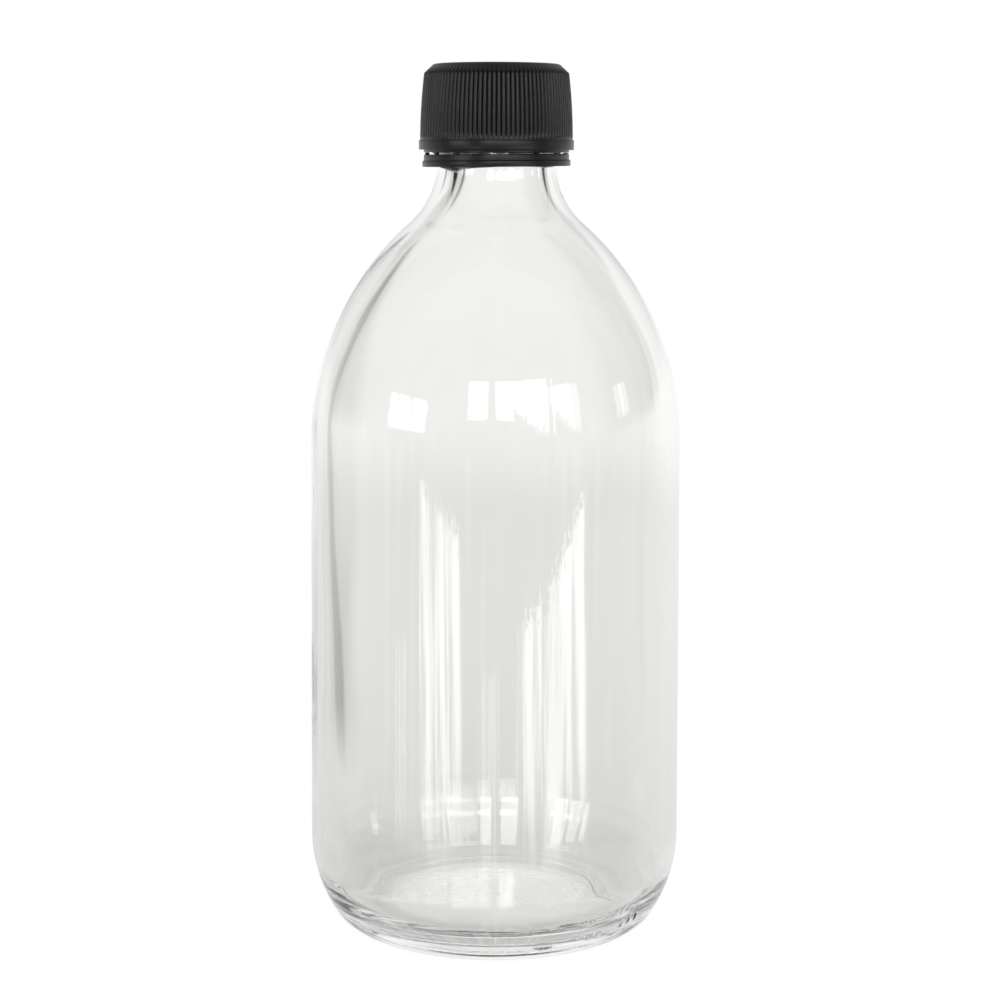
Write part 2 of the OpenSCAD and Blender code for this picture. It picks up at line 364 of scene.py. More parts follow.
step = 2 * math.pi / columns
for v in bottle.data.vertices:
    r = math.hypot(v.co.x, v.co.y)
    if r < 0.1 * mm:
        continue
    angle = math.atan2(v.co.y, v.co.x) % (2 * math.pi)
    outward = Vector((v.co.x / r, v.co.y / r, 0))
    if is_inside(v):
        calm = smooth((bead_foot_z - v.co.z) / (20 * mm)) * smooth(r / (20 * mm))
        rise = smooth((v.co.z - thick_low_z) / thick_run_in)
        rise *= smooth((thick_high_z - v.co.z) / thick_run_out)
        thick = max(0, math.cos(angle - thick_side)) * rise * thick_more
        v.co += calm * (outward * waviness(v.co, 3.1) * inner_wave + inner_offset) - outward * thick
    elif heel_z * 0.3 < v.co.z < neck_z:
        calm = smooth((neck_z - v.co.z) / (20 * mm))
        v.co -= outward * calm * outer_wave * (0.5 + 0.5 * waviness(v.co, 7.7))
        for seam in seam_angles:
            if abs((angle - seam + math.pi) % (2 * math.pi) - math.pi) < step / 2:
                v.co += outward * seam_height * calm
    elif v.co.z < 0.01 * mm and ring_r + 0.1 * mm < r < heel_x - 0.1 * mm:
        if round(angle / step) % 2:
            v.co.z += notch_depth
bottle.data.update()
report(bottle)

# %% [markdown]
# ## Marks at the heel
#
# A mould leaves small raised marks low on the wall. On this bottle they are a plain row
# of dots and bars. The mesh is too coarse for them, so only the faces of that patch are
# subdivided, and then lifted.

# %% Raise a few plain dots and bars
mark_from, mark_to = math.radians(283), math.radians(330)
mark_low, mark_high = 2.0 * mm, 9.5 * mm
mark_height = 0.3 * mm
# Angle round the bottle in degrees, height, half length round, half length up
marks = [
    (286.5, 3.4 * mm, 2.2 * mm, 0.35 * mm),
    (303, 4.6 * mm, 0.7 * mm, 0.7 * mm),
    (306.5, 4.6 * mm, 0.7 * mm, 0.7 * mm),
    (316, 5.6 * mm, 0.4 * mm, 1.3 * mm),
    (319.5, 5.9 * mm, 0.4 * mm, 1.3 * mm),
    (323, 6.2 * mm, 0.4 * mm, 1.3 * mm),
]


def mark_lift(angle, z, r):
    lift = 0
    for degrees, mark_z, half_round, half_up in marks:
        across = r * abs(angle - math.radians(degrees)) / half_round
        up = abs(z - mark_z) / half_up
        lift = max(lift, smooth(1.4 * (1 - max(across, up))))
    return lift


edit_all(bottle)
bpy.ops.mesh.select_all(action="DESELECT")
bpy.ops.mesh.select_mode(type="FACE")
bpy.ops.object.mode_set(mode="OBJECT")
for face in bottle.data.polygons:
    angle = math.atan2(face.center.y, face.center.x) % (2 * math.pi)
    out = math.hypot(face.center.x, face.center.y) > heel_x
    face.select = out and mark_from < angle < mark_to and mark_low < face.center.z < mark_high
chosen = sum(face.select for face in bottle.data.polygons)
bpy.ops.object.mode_set(mode="EDIT")
bpy.ops.mesh.subdivide(number_cuts=3)
bpy.ops.mesh.select_mode(type="VERT")
bpy.ops.mesh.select_all(action="DESELECT")
bpy.ops.object.mode_set(mode="OBJECT")
for v in bottle.data.vertices:
    r = math.hypot(v.co.x, v.co.y)
    angle = math.atan2(v.co.y, v.co.x) % (2 * math.pi)
    if r > heel_x and mark_low < v.co.z < mark_high and mark_from < angle < mark_to:
        v.co += Vector((v.co.x, v.co.y, 0)) / r * mark_height * mark_lift(angle, v.co.z, r)
bottle.data.update()
print("faces subdivided for the marks:", chosen)

edit_all(bottle)
bpy.ops.mesh.normals_make_consistent(inside=False)
bpy.ops.mesh.faces_shade_smooth()
bpy.ops.mesh.select_all(action="DESELECT")
bpy.ops.object.mode_set(mode="OBJECT")
report(bottle)

# %% [markdown]
# ## The ribbed cap
#
# A hundred equal ribs are modelled once. The outline is spun through one rib's width
# only, the columns in that wedge are pressed in to a groove at each side, and Spin with
# duplicates then copies the wedge a hundred times. A weld joins the copies to one skin.

# %% Sizes of the cap
cap_low, cap_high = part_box("screw_cap")
flange_r = cap_high.x
cap_z = cap_low.z
cap_top_z = cap_high.z
collar_r = flange_r - 1 * mm
collar_h = 0.5 * mm
flange_h = 2 * mm
flange_step = 0.25 * mm
skirt_draw = 0.8 * mm
chamfer_w, chamfer_h = 1.95 * mm, 1.85 * mm
cap_in_r = 13.9 * mm
ceiling_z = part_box("cap_liner")[1].z + 0.05 * mm
keeper_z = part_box("cap_liner")[0].z - 0.1 * mm
keeper_depth, keeper_h = 0.5 * mm, 0.8 * mm
rib_count = 100
rib_columns = 6
rib_depth = 0.42 * mm
rib_foot = 0.35 * mm
rib_run_out = 0.9 * mm
edge_r = 0.22 * mm
skirt_r = flange_r - flange_step
flange_z = cap_z + collar_h
flange_top_z = flange_z + flange_h
skirt_top_z = cap_top_z - chamfer_h
skirt_h = skirt_top_z - flange_top_z


# %% Outline of the cap and one rib's wedge
def rounded(pen, corner_x, corner_z, from_x, from_z, to_x, to_z, radius, steps=3):
    # A corner cut by three short strokes along a quadratic curve
    start = Vector((corner_x - from_x, corner_z - from_z)).normalized() * radius
    end = Vector((to_x - corner_x, to_z - corner_z)).normalized() * radius
    pen.line(corner_x - start.x, corner_z - start.y)
    for i in range(1, steps + 1):
        t = i / steps
        a, b = (1 - t) ** 2, t**2
        pen.line(corner_x - start.x * a + end.x * b, corner_z - start.y * a + end.y * b)


pen = Pen("ribbed_cap", 0, ceiling_z)
pen.line(6 * mm, ceiling_z)
pen.line(cap_in_r, ceiling_z)
pen.line(cap_in_r, keeper_z)
pen.line(cap_in_r - keeper_depth, keeper_z - keeper_h / 2)
pen.line(cap_in_r, keeper_z - keeper_h)
pen.line(cap_in_r, cap_z + edge_r, 64)
pen.line(cap_in_r + edge_r, cap_z)
rounded(pen, collar_r, cap_z, cap_in_r, cap_z, collar_r, flange_z, edge_r / 2)
rounded(pen, collar_r, flange_z, collar_r, cap_z, flange_r, flange_z, edge_r / 2)
rounded(pen, flange_r, flange_z, collar_r, flange_z, flange_r, flange_top_z, edge_r)
rounded(pen, flange_r, flange_top_z, flange_r, flange_z, skirt_r, flange_top_z, edge_r)
skirt_rows = 26
for i in range(skirt_rows + 1):
    s = i / skirt_rows
    pen.line(skirt_r - skirt_draw * s * s, flange_top_z + skirt_h * s)
crown_r = skirt_r - skirt_draw - chamfer_w
slope_x, slope_z = chamfer_w, chamfer_h
pen.line(crown_r + slope_x * 0.85, cap_top_z - slope_z * 0.85)
pen.line(crown_r + slope_x * 0.5, cap_top_z - slope_z * 0.5)
rounded(pen, crown_r, cap_top_z, crown_r + slope_x, cap_top_z - slope_z, 0, cap_top_z, 2 * edge_r, 4)
pen.line(8 * mm, cap_top_z)
pen.line(2.5 * mm, cap_top_z)
pen.line(0, cap_top_z)
cap = pen.done()

wedge = 2 * math.pi / rib_count
edit_all(cap)
bpy.ops.mesh.spin(
    steps=rib_columns, angle=wedge, center=(0, 0, 0), axis=(0, 0, 1), use_auto_merge=False
)
bpy.ops.object.mode_set(mode="OBJECT")
report(cap)


# %% Press the groove and copy the wedge round
def groove(share):
    # 1 in the groove at each side of the wedge, 0 on the round crest in its middle
    off = abs(2 * share - 1)
    return off**3.2


for v in cap.data.vertices:
    r = math.hypot(v.co.x, v.co.y)
    if r < cap_in_r + 0.3 * mm or v.co.z < flange_top_z + 0.01 * mm:
        continue
    share = (math.atan2(v.co.y, v.co.x) / wedge) % 1
    low = smooth((v.co.z - flange_top_z - rib_foot) / rib_run_out)
    high = smooth((skirt_top_z + 0.5 * chamfer_h - v.co.z) / (0.5 * chamfer_h))
    pressed = (r - rib_depth * groove(share) * low * high) / r
    v.co.x *= pressed
    v.co.y *= pressed

edit_all(cap)
bpy.ops.mesh.spin(
    steps=rib_count - 1, dupli=True, angle=wedge * (rib_count - 1),
    center=(0, 0, 0), axis=(0, 0, 1),
)
bpy.ops.object.mode_set(mode="OBJECT")
weld(cap, 0.003 * mm)
report(cap)

# %% [markdown]
# The thread inside the cap is pressed in the same way as the one on the glass, but
# inwards. It hangs below the glass thread, so that the two flanks pull on each other.

# %% Raise the thread inside the cap
cap_thread_depth = 1.1 * mm
cap_thread_root_w = 1.7 * mm
cap_thread_crest_w = 0.7 * mm
flank_reach = 1.335 * mm
for v in cap.data.vertices:
    r = math.hypot(v.co.x, v.co.y)
    if abs(r - cap_in_r) < 0.01 * mm and cap_z + edge_r < v.co.z < keeper_z - keeper_h:
        angle = math.atan2(v.co.y, v.co.x) % (2 * math.pi)
        height = thread_height(
            angle, v.co.z, thread_z - flank_reach, cap_thread_root_w, cap_thread_crest_w
        )
        v.co.x *= (r - cap_thread_depth * height) / r
        v.co.y *= (r - cap_thread_depth * height) / r
cap.data.update()

# %% [markdown]
# ## The tamper band
#
# The ring under the cap stays on the neck when the bottle is first opened. It has a lip
# at its foot, a hook inside that catches under the bead of the glass, and thin bridges
# above, which break. Moulded rings seldom sit quite level: this one hangs a little lower
# at the left, so its bridges are stretched there.

# %% Turn the band and set its bridges on it
band_low, band_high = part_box("tamper_band")
bead_r = neck_r + bead_depth
band_in_r = bead_r + 0.3 * mm
band_r = band_in_r + 1 * mm
lip_r = band_high.x
lip_h = 1.2 * mm
band_top_z = band_low.z + 2.5 * mm
hook_r = band_in_r - 0.9 * mm
hook_tip_h = 0.5 * mm
bridge_count = 16
bridge_w = 0.9 * mm
bridge_low_z = band_top_z - 0.2 * mm
bridge_top_z = band_high.z
band_sag = 0.3 * mm

pen = Pen("tamper_ring", hook_r, bead_foot_z - hook_tip_h)
pen.line(band_in_r, band_low.z)
rounded(pen, lip_r, band_low.z, band_in_r, band_low.z, lip_r, band_low.z + lip_h, edge_r)
rounded(pen, lip_r, band_low.z + lip_h, lip_r, band_low.z, band_r, band_low.z + lip_h, 0.15 * mm)
pen.line(band_r, band_low.z + lip_h + 0.1 * mm)
rounded(pen, band_r, band_top_z, band_r, band_low.z, band_in_r, band_top_z, edge_r)
pen.line(band_in_r, band_top_z)
pen.line(band_in_r, band_top_z - 0.1 * mm)
pen.line(hook_r, bead_foot_z)
pen.line(hook_r, bead_foot_z - hook_tip_h)
band = pen.done()
spin_round(band, 240)


def hang(z, x):
    return z - band_sag * (1 - x / band_r) / 2


bridges = []
for i in range(bridge_count):
    angle = 2 * math.pi * (i + 0.5) / bridge_count
    radius = band_in_r + 0.58 * mm
    bpy.ops.object.select_all(action="DESELECT")
    bpy.ops.mesh.primitive_cube_add(size=1)
    bridge = bpy.context.object
    bpy.ops.transform.resize(value=(0.65 * mm, bridge_w, bridge_top_z - bridge_low_z))
    bpy.ops.object.transform_apply(location=True, rotation=True, scale=True)
    bpy.ops.object.mode_set(mode="EDIT")
    bpy.ops.mesh.select_all(action="SELECT")
    bpy.ops.mesh.bevel(offset=0.07 * mm, segments=2)
    bpy.ops.object.mode_set(mode="OBJECT")
    for v in bridge.data.vertices:
        x, y, z = v.co
        x += radius
        z += (bridge_low_z + bridge_top_z) / 2
        v.co = (x * math.cos(angle) - y * math.sin(angle), x * math.sin(angle) + y * math.cos(angle), z)
    bridges.append(bridge)
for piece in [band, *bridges]:
    for v in piece.data.vertices:
        if v.co.z < band_top_z + 0.05 * mm:
            v.co.z = hang(v.co.z, v.co.x)
bpy.ops.object.select_all(action="DESELECT")
for bridge in bridges:
    bridge.select_set(True)
band.select_set(True)
bpy.context.view_layer.objects.active = band
bpy.ops.object.join()
report(band)

# %% [markdown]
# ## The liner
#
# A disc of white foam lies in the cap and is pressed on the rim. It is seen through the
# mouth of the glass, and from the side once the cap is lifted.

# %% Cut the liner
liner_low, liner_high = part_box("cap_liner")
pen = Pen("foam_liner", 0, liner_low.z)
pen.line(8 * mm, liner_low.z, 4)
pen.line(liner_high.x - 0.15 * mm, liner_low.z, 3)
pen.line(liner_high.x, liner_low.z + 0.15 * mm)
pen.line(liner_high.x, liner_high.z - 0.15 * mm)
pen.line(liner_high.x - 0.15 * mm, liner_high.z)
pen.line(0, liner_high.z, 6)
liner = pen.done()
spin_round(liner, 144)
report(liner)

# %% [markdown]
# ## Smooth where it is turned, sharp where it is cut
#
# Shading by angle keeps the edges of lips and rings crisp and rounds everything else.

# %% Shade the plastic pieces
for piece, degrees in ((cap, 50), (band, 50), (liner, 40)):
    bpy.ops.object.select_all(action="DESELECT")
    piece.select_set(True)
    bpy.context.view_layer.objects.active = piece
    bpy.ops.object.shade_smooth_by_angle(angle=math.radians(degrees))

# %% [markdown]
# ## Materials as written sums
#
# A shader is a sum of nodes, so it is written as one. A small class stands for a node's
# output and turns plus, minus and times into Math nodes. Every other node comes from one
# method, which sets the node's own settings first and then its sockets.

# %% A class for sockets and one for a node tree
class Out:
    def __init__(self, tree, socket):
        self.tree, self.socket = tree, socket

    def math(self, operation, first, second):
        return self.tree.node("ShaderNodeMath", {"operation": operation}, {0: first, 1: second})

    def __add__(self, other):
        return self.math("ADD", self, other)

    def __radd__(self, other):
        return self.math("ADD", other, self)

    def __sub__(self, other):
        return self.math("SUBTRACT", self, other)

    def __rsub__(self, other):
        return self.math("SUBTRACT", other, self)

    def __mul__(self, other):
        return self.math("MULTIPLY", self, other)

    def __rmul__(self, other):
        return self.math("MULTIPLY", other, self)


class Tree:
    def __init__(self, owner):
        owner.use_nodes = True
        self.tree = owner.node_tree
        self.tree.nodes.clear()

    def node(self, kind, settings=None, inputs=None, output=0):
        made = self.tree.nodes.new(kind)
        for name, value in (settings or {}).items():
            setattr(made, name, value)
        for name, value in (inputs or {}).items():
            if isinstance(value, Out):
                self.tree.links.new(value.socket, made.inputs[name])
            else:
                made.inputs[name].default_value = value
        if made.outputs:
            return Out(self, made.outputs[output])
        return None

    def part(self, vector, axis):
        return self.node("ShaderNodeSeparateXYZ", {}, {0: vector}, axis)

    def smooth_step(self, value, start, end, low=0, high=1):
        return self.node(
            "ShaderNodeMapRange",
            {"interpolation_type": "SMOOTHSTEP"},
            {"Value": value, "From Min": start, "From Max": end, "To Min": low, "To Max": high},
        )

    def noise(self, vector, size, detail=2, roughness=0.5):
        inputs = {"Vector": vector, "Scale": 1 / size, "Detail": detail, "Roughness": roughness}
        return self.node("ShaderNodeTexNoise", {}, inputs)

    def bump(self, height, depth):
        return self.node("ShaderNodeBump", {}, {"Height": height, "Distance": depth, "Strength": 1})


def new_material(name):
    material = bpy.data.materials.new(name)
    return material, Tree(material)


# %% [markdown]
# ## Clear glass
#
# Clear glass has hardly any colour: what little there is shows only where light passes
# many times through a wall. Its surface is fire-polished, with shallow ripples that are
# too small for the mesh and come from a bump. The hollow base and the lowest edge of the
# heel touched the mould longest, so they are rougher.

# %% Glass
rough_to_z, smooth_from_z = push_up + 0.1 * mm, push_up + 0.4 * mm
clear_glass, t = new_material("clear_glass")
place = t.node("ShaderNodeTexCoord", {}, {}, "Object")
ripple = t.noise(place, 9 * mm, 1) * 0.8 + t.noise(place, 2.5 * mm, 2) * 0.12
moulded = t.smooth_step(t.part(place, "Z"), rough_to_z, smooth_from_z, 1, 0)
ripple = ripple + moulded * t.noise(place, 3 * mm, 4, 0.65) * 2.2
surface = t.node(
    "ShaderNodeBsdfPrincipled",
    {},
    {
        "Base Color": (0.985, 0.985, 0.972, 1),
        "Roughness": 0.0,
        "IOR": 1.5,
        "Transmission Weight": 1.0,
        "Normal": t.bump(ripple, 0.012 * mm),
    },
)
t.node("ShaderNodeOutputMaterial", {}, {"Surface": surface})

# %% [markdown]
# ## Black plastic
#
# The cap is moulded in a polished steel tool, worn by many thousand shots. It is satin,
# not glossy: a very fine grain breaks up the reflections, and faint rubbed patches make
# the gloss uneven.

# %% Black plastic
black_plastic, t = new_material("black_plastic")
place = t.node("ShaderNodeTexCoord", {}, {}, "Object")
grain = t.noise(place, 0.12 * mm, 2)
rubbed = t.noise(place, 3.5 * mm, 3)
surface = t.node(
    "ShaderNodeBsdfPrincipled",
    {},
    {
        "Base Color": (0.009, 0.009, 0.0091, 1),
        "Roughness": rubbed * 0.1 + 0.27,
        "IOR": 1.49,
        "Specular IOR Level": 0.36,
        "Normal": t.bump(grain, 0.006 * mm),
    },
)
t.node("ShaderNodeOutputMaterial", {}, {"Surface": surface})

# %% [markdown]
# ## White foam
#
# Closed foam with a skin: matte and white, with small pores.

# %% White foam
white_foam, t = new_material("white_foam")
place = t.node("ShaderNodeTexCoord", {}, {}, "Object")
pores = t.node("ShaderNodeTexVoronoi", {}, {"Vector": place, "Scale": 1 / (0.4 * mm)})
surface = t.node(
    "ShaderNodeBsdfPrincipled",
    {},
    {
        "Base Color": (0.86, 0.86, 0.83, 1),
        "Roughness": pores * 0.2 + 0.6,
        "Normal": t.bump(pores, 0.03 * mm),
    },
)
t.node("ShaderNodeOutputMaterial", {}, {"Surface": surface})

# %% [markdown]
# ## Onto the CAD model
#
# Each piece gets its finish, rides on a body of the CAD model and hides the node that it
# stands for. A tuple for each piece keeps the four names together, and one loop does the
# rest, so no piece can be forgotten.

# %% Give each piece its material, its body and its CAD node
dressed = [
    (bottle, clear_glass, "bottle", "glass_bottle", "clear_glass"),
    (cap, black_plastic, "cap", "screw_cap", "black_plastic"),
    (liner, white_foam, "liner", "cap_liner", "white_foam"),
    (band, black_plastic, "band", "tamper_band", "black_plastic"),
]
for piece, material, body, node, slot in dressed:
    piece.data.materials.clear()
    piece.data.materials.append(material)
    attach(piece, body)
    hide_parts(node)

# %% [markdown]
# ## The white studio
#
# The photograph was taken before a white sheet, in a dim room with windows behind the
# camera. The world does the same. Light Path tells apart what looks at it: the camera
# sees plain white, the glass lets through the sheet with painted shade, greyer on the table
# and whiter higher up, and what is mirrored is bright behind and dim in front.
#
# Without the grey parts the bottle would melt into the white. They are what draws the
# soft dark line inside each side wall, where the glass bends the view furthest.
#
# Angles are in radians, and heights are those of a direction: -1 is straight down.

# %% What the glass shows from each direction
table_near, table_far = 0.66, 0.775
curve_gain, wall_gain = 0.17, 0.055
under_gain = 0.2
right_shade, left_shade = 0.07, 0.08
dim_right, dim_left, dark_ends = 0.4, 0.25, 0.97
ceiling_shade = 0.28
room_grey, room_spots = 0.52, 0.12


def turned(t, direction):
    # Angle round the bottle, 0 straight behind it and positive to the right
    aside, ahead = t.part(direction, "X"), t.part(direction, "Y")
    return t.node("ShaderNodeMath", {"operation": "ARCTAN2"}, {0: aside, 1: ahead})


def furniture(t, direction):
    # Upright light and dark shapes in the room in front
    spread = t.node(
        "ShaderNodeCombineXYZ", {}, {0: turned(t, direction), 1: t.part(direction, "Z") * 0.5}
    )
    return t.smooth_step(t.noise(spread, 0.11, 2), 0.48, 0.72)


def bank(t, value, start, end, soft):
    # 1 between start and end, with soft edges outside them
    return t.smooth_step(value, start - soft, start) * t.smooth_step(value, end, end + soft, 1, 0)


def sheet_seen(t, direction):
    turn, up = turned(t, direction), t.part(direction, "Z")
    # Painted shade of the sheet: on the table, on the curve where it rises, and behind
    sheet = t.smooth_step(up, -1.0, -0.2, table_near, table_far)
    sheet = sheet + t.smooth_step(up, -0.17, -0.095) * curve_gain
    sheet = sheet + t.smooth_step(up, -0.07, 0) * wall_gain
    # Painted shade makes it a little darker at both sides, and a painted highlight brighter right under
    # the base
    right = bank(t, turn, 0.16, 0.34, 0.07) * t.smooth_step(up, -0.2, -0.1) * right_shade
    left = t.smooth_step(turn, -0.6, -0.45, 1, 0) * left_shade
    under = t.smooth_step(up, -0.985, -0.96, 1, 0) * under_gain
    sheet = sheet * (1 - right - left) + under
    # Beyond its ends the room shows above the table, dim at first and then dark
    above = t.smooth_step(up, -0.03, 0.06)
    dim = t.smooth_step(turn, 0.66, 0.8) * dim_right
    dim = dim + t.smooth_step(turn, -0.8, -0.66, 1, 0) * dim_left
    dark = t.smooth_step(turn, 0.86, 0.93) + t.smooth_step(turn, -0.93, -0.86, 1, 0)
    high = t.smooth_step(up, 0.28, 0.4) * ceiling_shade
    sheet = sheet * (1 - above * dim) * (1 - above * dark * dark_ends) * (1 - high)
    ahead = t.smooth_step(t.part(direction, "Y"), -0.4, 0.0)
    return ahead * sheet + (1 - ahead) * (room_grey + room_spots * furniture(t, direction))


# %% World
low_mirrored, level_mirrored, high_share = 0.62, 0.82, 0.5
least_mirrored, room_light = 0.18, 0.7
lighting = 0.45

world = bpy.data.worlds.new("white_studio")
bpy.context.scene.world = world
t = Tree(world)
direction = t.node("ShaderNodeTexCoord", {}, {}, "Generated")
behind = t.smooth_step(t.part(direction, "Y"), -0.25, 0.35)
is_camera = t.node("ShaderNodeLightPath", {}, {}, "Is Camera Ray")
is_glossy = t.node("ShaderNodeLightPath", {}, {}, "Is Glossy Ray")
is_passed = t.node("ShaderNodeLightPath", {}, {}, "Is Transmission Ray")
height = t.part(direction, "Z")
sheet_mirrored = t.smooth_step(height, -0.3, -0.02, low_mirrored, level_mirrored)
room_mirrored = (1 - behind) * room_light * furniture(t, direction) + least_mirrored
mirrored = (behind * sheet_mirrored + room_mirrored) * t.smooth_step(height, 0.0, 0.14, 1, high_share)
seen = is_passed * sheet_seen(t, direction) + (1 - is_passed) * (
    is_glossy * mirrored + (1 - is_glossy) * lighting
)
strength = is_camera + (1 - is_camera) * seen
background = t.node("ShaderNodeBackground", {}, {"Color": (1, 1, 1, 1), "Strength": strength})
t.node("ShaderNodeOutputWorld", {}, {"Surface": background})

# %% [markdown]
# ## The floor
#
# A white floor lit by lamps never comes out evenly white. So it glows for the camera and
# for the glass, and only a part of it is a lit surface, which takes the shadow.

# %% Floor
floor_glow = 0.92
seen_from_z = 90 * mm

bpy.ops.object.select_all(action="DESELECT")
bpy.ops.mesh.primitive_plane_add(size=12, location=(0, 0, 0))
floor = bpy.context.object
floor.name = "white_floor"
floor_white, t = new_material("floor_white")
place = t.node("ShaderNodeTexCoord", {}, {}, "Object")
from_middle = t.node(
    "ShaderNodeVectorMath", {"operation": "SUBTRACT"}, {0: place, 1: (0, 0, seen_from_z)}
)
direction = t.node("ShaderNodeVectorMath", {"operation": "NORMALIZE"}, {0: from_middle})
is_camera = t.node("ShaderNodeLightPath", {}, {}, "Is Camera Ray")
is_passed = t.node("ShaderNodeLightPath", {}, {}, "Is Transmission Ray")
# For the glass the floor glows with the sheet's painted shade and painted highlight
glow_level = is_camera * floor_glow + is_passed * sheet_seen(t, direction) * floor_glow
glow = t.node("ShaderNodeEmission", {}, {"Color": (1, 1, 1, 1), "Strength": glow_level})
paint = t.node("ShaderNodeBsdfDiffuse", {}, {"Color": (0.2, 0.2, 0.2, 1)})
both = t.node("ShaderNodeAddShader", {}, {0: glow, 1: paint})
lit = t.node("ShaderNodeBsdfDiffuse", {}, {"Color": (0.8, 0.8, 0.8, 1)})
direct = is_camera + is_passed
surface = t.node("ShaderNodeMixShader", {}, {0: direct, 1: lit, 2: both})
t.node("ShaderNodeOutputMaterial", {}, {"Surface": surface})
floor.data.materials.append(floor_white)
floor.visible_glossy = False

# %% [markdown]
# ## Painted shade on a film close behind
#
# At the left the white sheet hangs in a fold close behind the bottle. Each height of the
# glass sees it at another angle, so the fold's shade needs a true place, and a direction
# alone won't do. A photographer would stand a strip of grey film there; this one carries
# the fold's shade as painted shade. It is seen only by light that has passed through the
# glass, and each spot of it lets through a share of what lies behind: a Mix Shader between
# a clear and a black Transparent does that.

# %% Film with the painted shade of the fold
film_x, film_y = -60 * mm, 80 * mm
film_w, film_h = 80 * mm, 175 * mm
# The fold runs down the film and sways to the left in the middle of its height
fold_x, fold_sway = -45 * mm, 13 * mm
sway_low_z, sway_most_z, sway_high_z = 20 * mm, 100 * mm, 150 * mm
core_left, core_right, core_soft, core_shade = -3.5 * mm, 1.5 * mm, 2.5 * mm, 0.3
halo_left, halo_right, halo_soft, halo_shade = -6 * mm, 1 * mm, 10 * mm, 0.14
deeper_from_z, deepest_z, deepening = 118 * mm, 145 * mm, 1.5
# The rest of the film carries a little painted shade, more so near the table, and fades at its edges
low_z, low_shade = 50 * mm, 0.2
high_z, high_shade = 75 * mm, 0.12
right_from_x, right_end_x = -43 * mm, -35 * mm
left_end_x, left_from_x = -92 * mm, -74 * mm
foot_z, above_foot_z = 2 * mm, 26 * mm
below_top_z, top_z = 158 * mm, 174 * mm

bpy.ops.object.select_all(action="DESELECT")
bpy.ops.mesh.primitive_plane_add(size=1, rotation=(math.radians(90), 0, 0))
film = bpy.context.object
film.name = "painted_shade_film"
bpy.ops.transform.resize(value=(film_w, 1, film_h))
bpy.ops.transform.translate(value=(film_x, film_y, film_h / 2))
bpy.ops.object.transform_apply(location=True, rotation=True, scale=True)

painted_fold_shade, t = new_material("painted_fold_shade")
place = t.node("ShaderNodeTexCoord", {}, {}, "Object")
across, height = t.part(place, "X"), t.part(place, "Z")
sway = t.smooth_step(height, sway_low_z, sway_most_z, 0, fold_sway)
sway = sway - t.smooth_step(height, sway_most_z, sway_high_z, 0, fold_sway)
from_fold = across - fold_x + sway
# Painted shade of the fold: a dark core and a soft halo, deeper higher up
core = bank(t, from_fold, core_left, core_right, core_soft) * core_shade
halo = bank(t, from_fold, halo_left, halo_right, halo_soft) * halo_shade
fold = (core + halo) * t.smooth_step(height, deeper_from_z, deepest_z, 1, deepening)
plain = t.smooth_step(height, low_z, high_z, low_shade, high_shade)
plain = plain * t.smooth_step(across, right_from_x, right_end_x, 1, 0)
ends = t.smooth_step(height, below_top_z, top_z, 1, 0) * t.smooth_step(height, foot_z, above_foot_z)
shade = (fold + plain) * ends * t.smooth_step(across, left_end_x, left_from_x)
clear = t.node("ShaderNodeBsdfTransparent", {}, {"Color": (1, 1, 1, 1)})
black = t.node("ShaderNodeBsdfTransparent", {}, {"Color": (0, 0, 0, 1)})
surface = t.node("ShaderNodeMixShader", {}, {0: shade, 1: clear, 2: black})
t.node("ShaderNodeOutputMaterial", {}, {"Surface": surface})
film.data.materials.append(painted_fold_shade)
film.visible_camera = False
film.visible_diffuse = False
film.visible_glossy = False
film.visible_shadow = False

# %% [markdown]
# ## Windows
#
# The bright marks on the glass are mirror images of windows. Each lamp stands in the
# direction that such a mark mirrors, given as the angles it covers: round the bottle,
# from the camera's side towards the right, and up from level. Trees outside cover the
# lower part of some panes, and the bars between the panes are dark.

# %% Window lamps
lamp_distance = 2.5
lamp_aim_z = 90 * mm
# From the left edge to the right one, bottom and top, all in degrees, brightness,
# places of the bars across, and how far up the leaves reach at the left and at the right
windows = [
    (-69.3, -44.3, 1.5, 14.5, 5, (0.15, 0.55), 0.05, 0.05),
    (-17, -5, 7, 24, 7, (), 0.0, 0.25),
    (2.4, 11, 7, 24, 6, (), 0.1, 0.1),
    (13, 36.5, 0.6, 24, 4.2, (0.84,), 0.65, 0.1),
    (37.5, 53.5, 0.6, 20, 2.6, (), 0.75, 0.1),
    (85, 91, 2, 14, 2.5, (), 0.3, 0.3),
]


def add_lamp(name, left, right, low, high, brightness):
    around = math.radians((left + right) / 2)
    up = math.radians((low + high) / 2)
    flat = math.cos(up)
    out = Vector((math.sin(around) * flat, -math.cos(around) * flat, math.sin(up)))
    place = out * lamp_distance + Vector((0, 0, lamp_aim_z))
    bpy.ops.object.light_add(type="AREA", location=place)
    lamp = bpy.context.object
    lamp.name = name
    lamp.rotation_euler = out.to_track_quat("Z", "Y").to_euler()
    lamp.data.shape = "RECTANGLE"
    lamp.data.size = 2 * lamp_distance * math.tan(math.radians(right - left) / 2)
    lamp.data.size_y = 2 * lamp_distance * math.tan(math.radians(high - low) / 2)
    lamp.data.energy = brightness * math.pi * lamp.data.size * lamp.data.size_y
    lamp.visible_camera = False
    return lamp


def lamp_pattern(lamp, make):
    # What shines varies over the lamp's face, as behind real window panes
    t = Tree(lamp.data)
    face = t.node("ShaderNodeNewGeometry", {}, {}, "Parametric")
    across, up = t.part(face, "X"), t.part(face, "Y")
    shine = t.node("ShaderNodeEmission", {}, {"Strength": make(t, face, across, up)})
    t.node("ShaderNodeOutputLight", {}, {"Surface": shine})


bar_w = 0.1


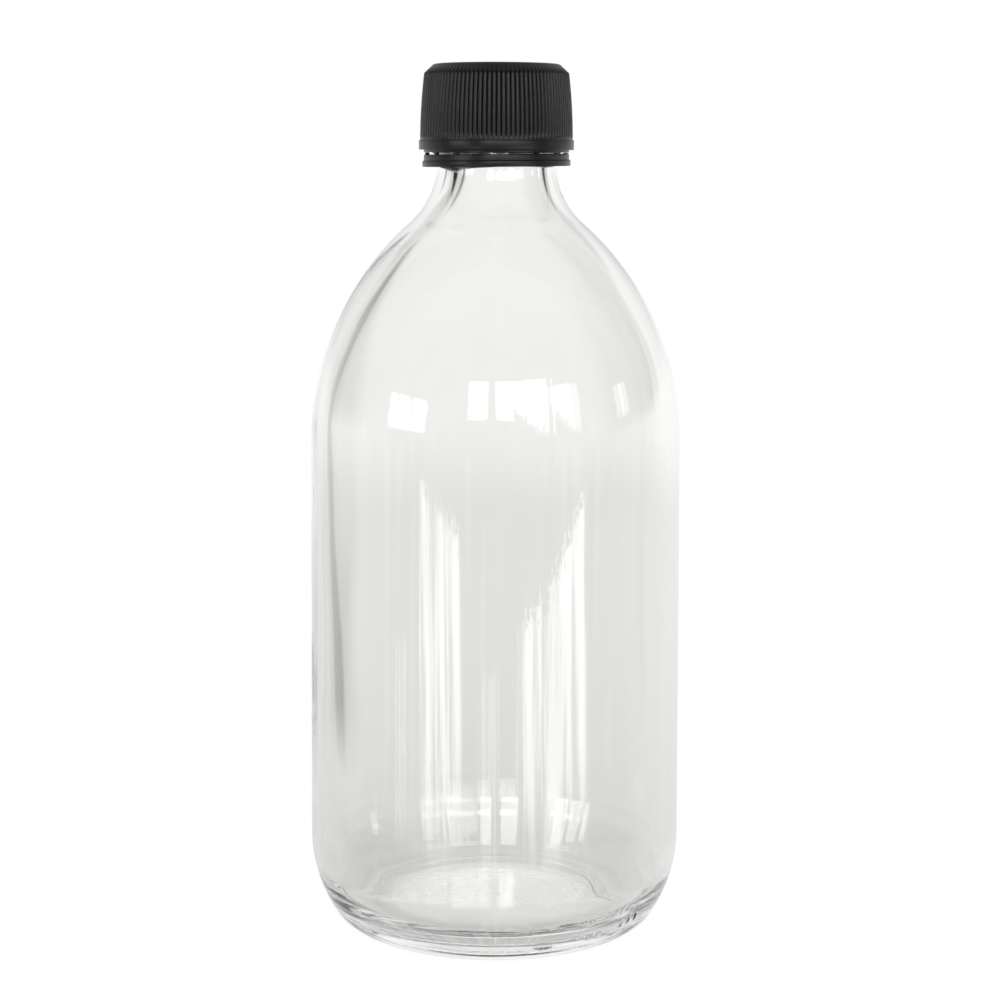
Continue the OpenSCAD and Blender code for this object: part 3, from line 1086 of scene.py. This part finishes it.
def panes(bars, leafy_left, leafy_right, seed):
    def pattern(t, face, across, up):
        shift = (seed, seed, 0)
        shifted = t.node("ShaderNodeVectorMath", {"operation": "ADD"}, {0: face, 1: shift})
        ragged = t.noise(shifted, 0.2, 4, 0.65) - 0.5
        aside = across + ragged * 0.1
        pane = t.smooth_step(up + ragged * 0.2, 0.08, 0.1) * t.smooth_step(aside, 0.0, 0.03)
        for bar in bars:
            pane = pane * (1 - bank(t, aside, bar, bar + bar_w, 0.015))
        leafy = across * (leafy_right - leafy_left) + leafy_left
        leaves = t.noise(shifted, 0.09, 6, 0.85) * 1.6 + (up - leafy) * 1.1
        return pane * t.smooth_step(leaves, 0.68, 0.74)

    return pattern


for i, (left, right, low, high, brightness, bars, leafy_left, leafy_right) in enumerate(windows):
    lamp = add_lamp(f"window_{i + 1}", left, right, low, high, brightness)
    lamp_pattern(lamp, panes(bars, leafy_left, leafy_right, 3.7 * i))

# %% [markdown]
# The window light also falls on the floor of the room. Mirrored in the straight wall,
# which stretches everything upright, it makes the tall streaks. Their upper ends are torn
# and slant, because the wall isn't quite even.

# %% Streaks of light on the floor in front
# Angles and brightness as above, then how high the light reaches at the left and the right
streaks = [
    (-47, -19.5, -20, -7.6, 6.5, 0.96, 0.8),
    (-63, -55, -20, -12, 1.8, 0.9, 0.9),
    (-8, 3, -21, -13, 2, 0.9, 0.9),
    (13, 58.5, -21, -8.2, 6.5, 0.6, 0.97),
]


def soft_streak(at_left, at_right, seed):
    def pattern(t, face, across, up):
        sides = t.smooth_step(across, 0.0, 0.05) * t.smooth_step(across, 0.9, 1.0, 1, 0)
        drawn = t.node("ShaderNodeCombineXYZ", {}, {0: across + up * 0.06, 1: up * 0.12 + seed})
        lines = t.smooth_step(t.noise(drawn, 0.17, 3, 0.65), 0.4, 0.56, 0.15, 1.0)
        reach = across * (at_right - at_left) + at_left
        torn = t.smooth_step(t.noise(face, 0.03, 5, 0.8) * 0.5 + reach - 0.25 - up, -0.01, 0.02)
        ends = t.smooth_step(up, 0.0, 0.35)
        return sides * lines * torn * ends

    return pattern


for i, (left, right, low, high, brightness, at_left, at_right) in enumerate(streaks):
    lamp = add_lamp(f"streak_{i + 1}", left, right, low, high, brightness)
    lamp_pattern(lamp, soft_streak(at_left, at_right, 2.3 * i))

# %% [markdown]
# ## Light that stays long in the glass
#
# In the heel a ray is thrown from wall to wall many times before it gets out. Cut short,
# such a ray comes out black and the heel fills with dark streaks. So far more bounces are
# allowed than for plain objects. Few rays need them, so the render takes little longer.

# %% Bounces
bounces = 80
cycles = bpy.context.scene.cycles
cycles.max_bounces = bounces
cycles.glossy_bounces = bounces
cycles.transmission_bounces = bounces

# %% [markdown]
# ## Last of all
#
# The Standard view shows each colour as it is written.

# %% Finish
bpy.context.scene.view_settings.view_transform = "Standard"
